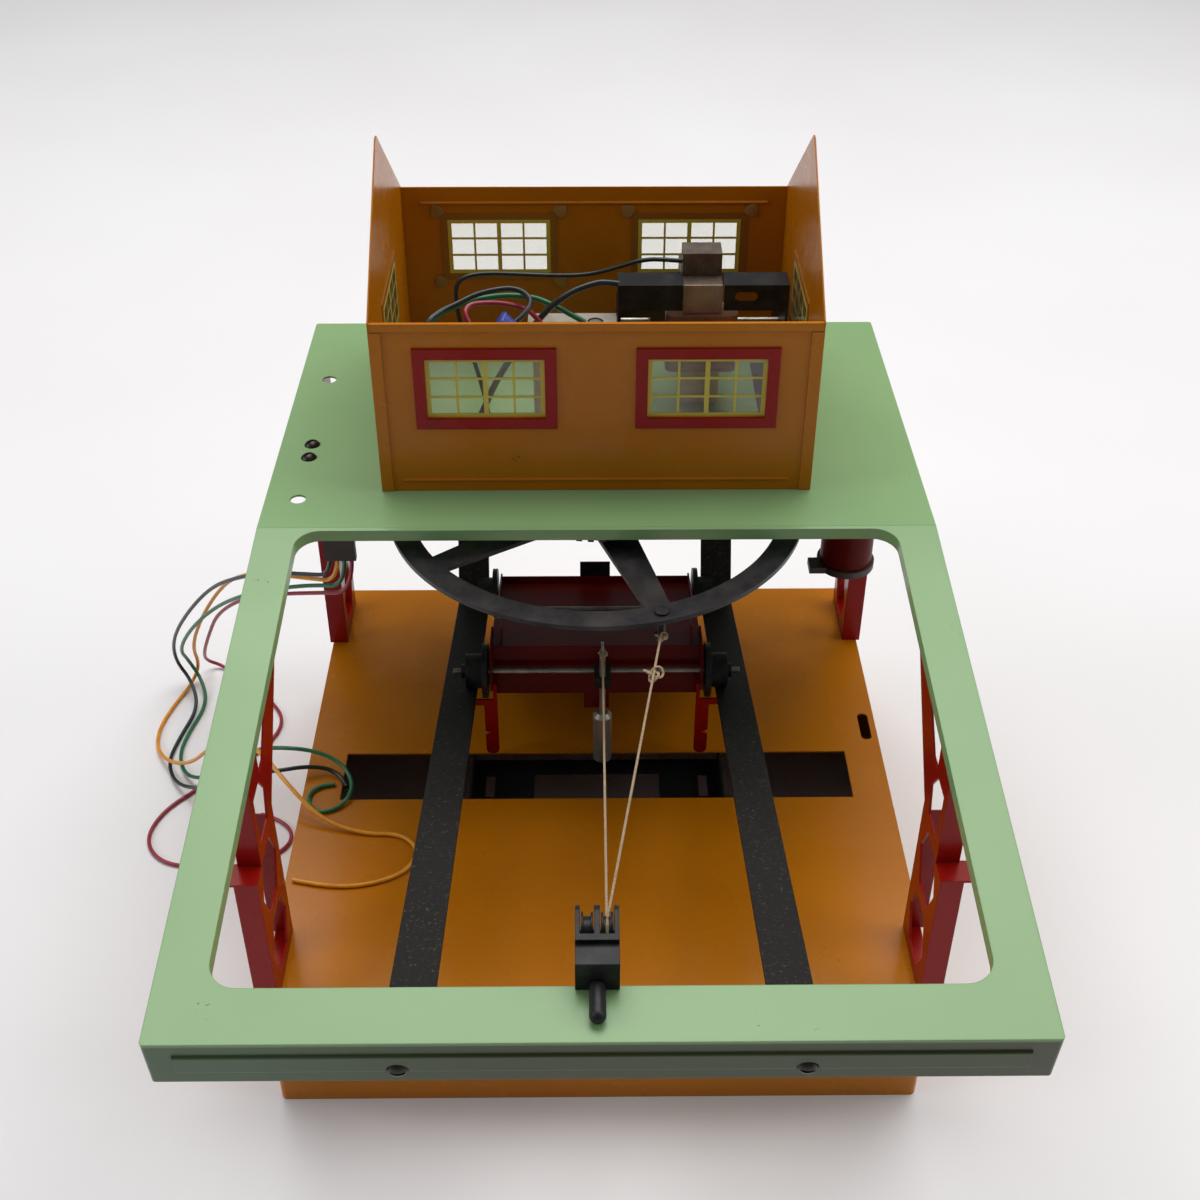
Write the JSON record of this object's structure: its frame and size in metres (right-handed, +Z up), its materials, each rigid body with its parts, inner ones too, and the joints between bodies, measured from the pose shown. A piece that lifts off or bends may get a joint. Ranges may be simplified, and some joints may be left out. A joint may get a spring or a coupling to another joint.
{
  "type": "toy tower crane",
  "caption": "Pressed-tin toy coal-loading tower: a motor and crank wheel draw a wheeled trolley up two sloping rails under an open boom frame.",
  "frame": {"origin": "on the table, under the middle of the crane's box without its loose wires", "axes": "+Z up, the boom faces -Y, +X to the right when the boom faces the viewer"},
  "size_m": [0.3488, 0.3843, 0.3103],
  "materials": {
    "mustard_enamel": "glossy baked enamel on tinplate",
    "green_enamel": "glossy baked enamel on pressed steel",
    "red_enamel": "glossy baked enamel on pressed steel",
    "black_steel": "thin black finish on steel, worn on the edges",
    "steel": "dull plated steel",
    "brass": "dull brass",
    "fibre": "dark vulcanised fibre",
    "copper_winding": "varnished enamelled winding",
    "celluloid": "clear celluloid sheet with printed yellow bars",
    "string": "twisted cotton string",
    "black_insulation": "smooth soft plastic",
    "green_insulation": "smooth soft plastic",
    "yellow_insulation": "smooth soft plastic",
    "red_insulation": "smooth soft plastic"
  },
  "bodies": {
    "tower": {"base_box": "mustard_enamel", "block_stud": "black_steel", "boom_frame": "green_enamel", "brush_holder": "fibre", "cabin_back_wall": "mustard_enamel", "cabin_front_wall": "mustard_enamel", "cabin_gable_left": "mustard_enamel", "cabin_gable_right": "mustard_enamel", "deck": "green_enamel", "front_leg_left": "red_enamel", "front_leg_right": "red_enamel", "motor_bracket_left": "black_steel", "motor_bracket_right": "black_steel", "motor_coil": "copper_winding", "motor_core": "steel", "motor_plate": "steel", "pulley_block": "black_steel", "pulley_pin": "steel", "rail_left": "black_steel", "rail_right": "black_steel", "rear_leg_left": "red_enamel", "rear_leg_right": "red_enamel", "relay_base": "fibre", "relay_can": "red_enamel", "screws": "steel", "shaft_bushes": "brass", "slot_bracket": "black_steel", "string_drive": "string", "string_trolley": "string", "terminal_board": "fibre", "window_frames": "red_enamel", "window_panes": "celluloid", "wire_black": "black_insulation", "wire_green": "green_insulation", "wire_red": "red_insulation", "wire_yellow": "yellow_insulation"},
    "crank": {"drive_wheel": "black_steel", "crank_pin": "black_steel", "drive_gear": "brass", "drive_shaft": "steel"},
    "countershaft": {"countershaft": "steel", "counter_pinion": "brass", "worm_wheel": "fibre"},
    "armature": {"motor_armature": "copper_winding", "motor_shaft": "steel"},
    "trolley": {"trolley_body": "red_enamel", "jaw_shafts": "steel", "bucket_arm_left": "red_enamel", "bucket_arm_right": "red_enamel", "trolley_bumper": "black_steel", "hanger_rod": "steel", "hanger_weight": "steel", "rod_clip": "black_steel"},
    "front_wheels": {"axle_front": "steel", "wheel_front_left": "black_steel", "wheel_front_right": "black_steel"},
    "rear_wheels": {"axle_rear": "steel", "wheel_rear_left": "black_steel", "wheel_rear_right": "black_steel"},
    "sheaves": {"pulley_sheaves": "black_steel"}
  },
  "joints": [
    {"name": "crank_turn", "type": "hinge", "parent": "tower", "child": "crank", "pos_m": [0, 0.0605, 0.1812], "axis": [0, 0, 1], "range_deg": [0, 180], "deforming": ["string_drive"]},
    {"name": "trolley_travel", "type": "slide", "parent": "tower", "child": "trolley", "axis": [0, -0.9732, 0.23], "range_m": [0, 0.15], "deforming": ["string_trolley"]},
    {"name": "countershaft_turn", "type": "hinge", "parent": "tower", "child": "countershaft", "pos_m": [0, 0.1073, 0.2], "axis": [0, 0, 1], "continuous": true},
    {"name": "armature_turn", "type": "hinge", "parent": "tower", "child": "armature", "pos_m": [0.043, 0.129, 0.226], "axis": [1, 0, 0], "continuous": true},
    {"name": "front_wheels_roll", "type": "hinge", "parent": "trolley", "child": "front_wheels", "pos_m": [0, 0.048, 0.10527], "axis": [1, 0, 0], "continuous": true},
    {"name": "rear_wheels_roll", "type": "hinge", "parent": "trolley", "child": "rear_wheels", "pos_m": [0, 0.12877, 0.08617], "axis": [1, 0, 0], "continuous": true},
    {"name": "sheaves_turn", "type": "hinge", "parent": "tower", "child": "sheaves", "pos_m": [-0.0014, -0.158, 0.17721], "axis": [1, 0, 0], "continuous": true}
  ],
  "couplings": [
    {"joint": "trolley_travel", "follows": "crank_turn", "m_per_rad": 0.04775},
    {"joint": "countershaft_turn", "follows": "crank_turn", "ratio": -3},
    {"joint": "armature_turn", "follows": "crank_turn", "ratio": 72},
    {"joint": "front_wheels_roll", "follows": "crank_turn", "ratio": 6.5411},
    {"joint": "rear_wheels_roll", "follows": "crank_turn", "ratio": 6.5411},
    {"joint": "sheaves_turn", "follows": "crank_turn", "ratio": -9.9479}
  ]
}
